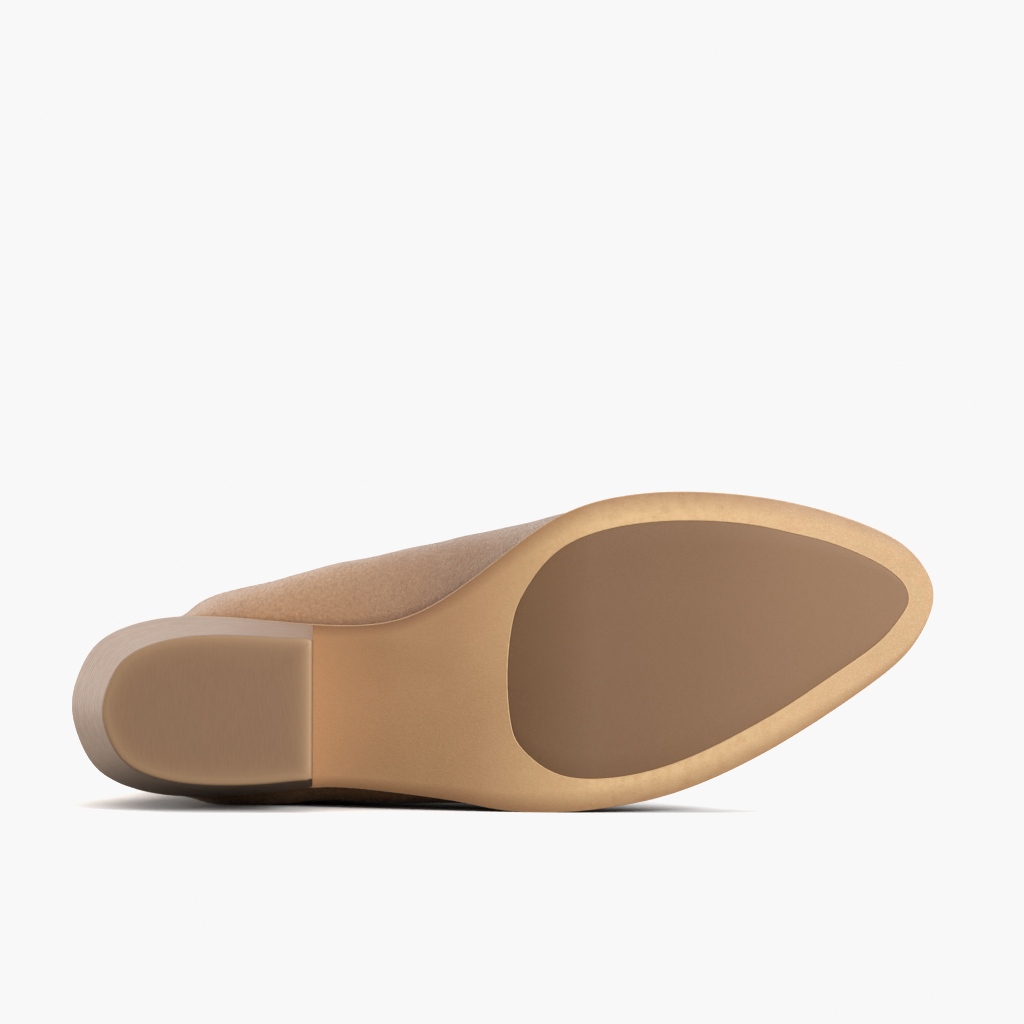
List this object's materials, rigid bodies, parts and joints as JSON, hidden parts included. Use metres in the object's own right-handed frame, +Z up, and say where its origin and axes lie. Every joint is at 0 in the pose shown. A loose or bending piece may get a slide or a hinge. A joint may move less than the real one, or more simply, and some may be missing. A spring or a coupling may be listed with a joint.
{
  "type": "ankle boot",
  "caption": "Left leather ankle boot with elastic side gores, almond toe, stacked block heel and rubber forefoot pad, lying on its outer side.",
  "frame": {"origin": "bottom centre of the bounding box of the boot as it lies on its outer side on a floor at z = 0", "axes": "+X from the heel to the toe, +Y from the sole to the collar, +Z up from the outer side that the boot lies on to its inner side"},
  "size_m": [0.269, 0.1606, 0.0985],
  "materials": {
    "upper_leather": "tan leather with a fine pebble grain, satin",
    "gore_elastic": "dark brown ribbed elastic webbing",
    "sock_leather": "smooth light tan lining leather",
    "sole_leather": "smooth natural sole leather, lightly waxed",
    "pad_rubber": "matte brown rubber",
    "heel_stack": "stacked leather, fine layer lines, satin",
    "lift_rubber": "matte brown rubber, brushed"
  },
  "bodies": {
    "root": {"upper": "upper_leather", "gore_outer": "gore_elastic", "gore_inner": "gore_elastic", "insole": "sock_leather", "outsole": "sole_leather", "forefoot_pad": "pad_rubber", "heel_block": "heel_stack", "top_lift": "lift_rubber"}
  },
  "joints": []
}
